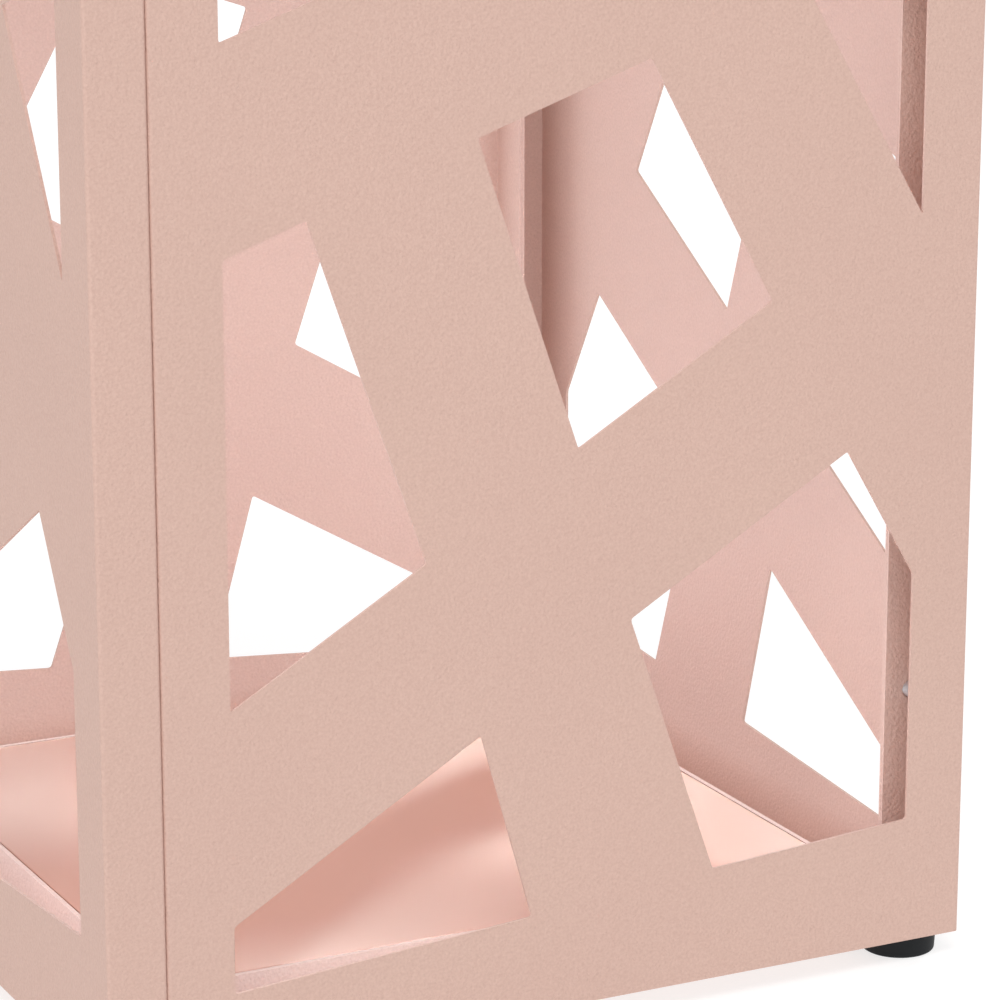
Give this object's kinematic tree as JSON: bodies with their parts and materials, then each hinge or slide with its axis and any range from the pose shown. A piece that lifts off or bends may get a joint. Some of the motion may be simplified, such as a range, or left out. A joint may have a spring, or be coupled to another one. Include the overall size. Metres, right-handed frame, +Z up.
{
  "type": "umbrella stand",
  "caption": "Square open-top umbrella stand of folded sheet-steel panels with slanted polygon windows, a lift-out floor plate and rubber feet.",
  "frame": {"origin": "on the floor, under the middle of the stand", "axes": "+Z up, the front faces -Y, +X to the right"},
  "size_m": [0.155, 0.155, 0.49],
  "materials": {
    "powder_coat": "satin powder coat with a fine grain",
    "plate_coat": "smooth satin coat",
    "foot_rubber": "matt",
    "screw_zinc": "bright zinc plate"
  },
  "bodies": {
    "stand": {"front_panel": "powder_coat", "right_panel": "powder_coat", "back_panel": "powder_coat", "left_panel": "powder_coat", "base_pan": "powder_coat", "front_right_foot": "foot_rubber", "back_right_foot": "foot_rubber", "back_left_foot": "foot_rubber", "front_left_foot": "foot_rubber", "front_right_foot_screw": "screw_zinc", "back_right_foot_screw": "screw_zinc", "back_left_foot_screw": "screw_zinc", "front_left_foot_screw": "screw_zinc", "front_pan_screw": "screw_zinc", "right_pan_screw": "screw_zinc", "back_pan_screw": "screw_zinc", "left_pan_screw": "screw_zinc", "front_right_seam_screw_low": "screw_zinc", "front_right_seam_screw_middle": "screw_zinc", "front_right_seam_screw_high": "screw_zinc", "back_right_seam_screw_low": "screw_zinc", "back_right_seam_screw_middle": "screw_zinc", "back_right_seam_screw_high": "screw_zinc", "back_left_seam_screw_low": "screw_zinc", "back_left_seam_screw_middle": "screw_zinc", "back_left_seam_screw_high": "screw_zinc", "front_left_seam_screw_low": "screw_zinc", "front_left_seam_screw_middle": "screw_zinc", "front_left_seam_screw_high": "screw_zinc"},
    "floor_plate": {"floor_plate": "plate_coat"}
  },
  "joints": [
    {"name": "floor_plate_lift", "type": "slide", "parent": "stand", "child": "floor_plate", "axis": [0, 0, 1], "range_m": [0, 0.5]}
  ]
}
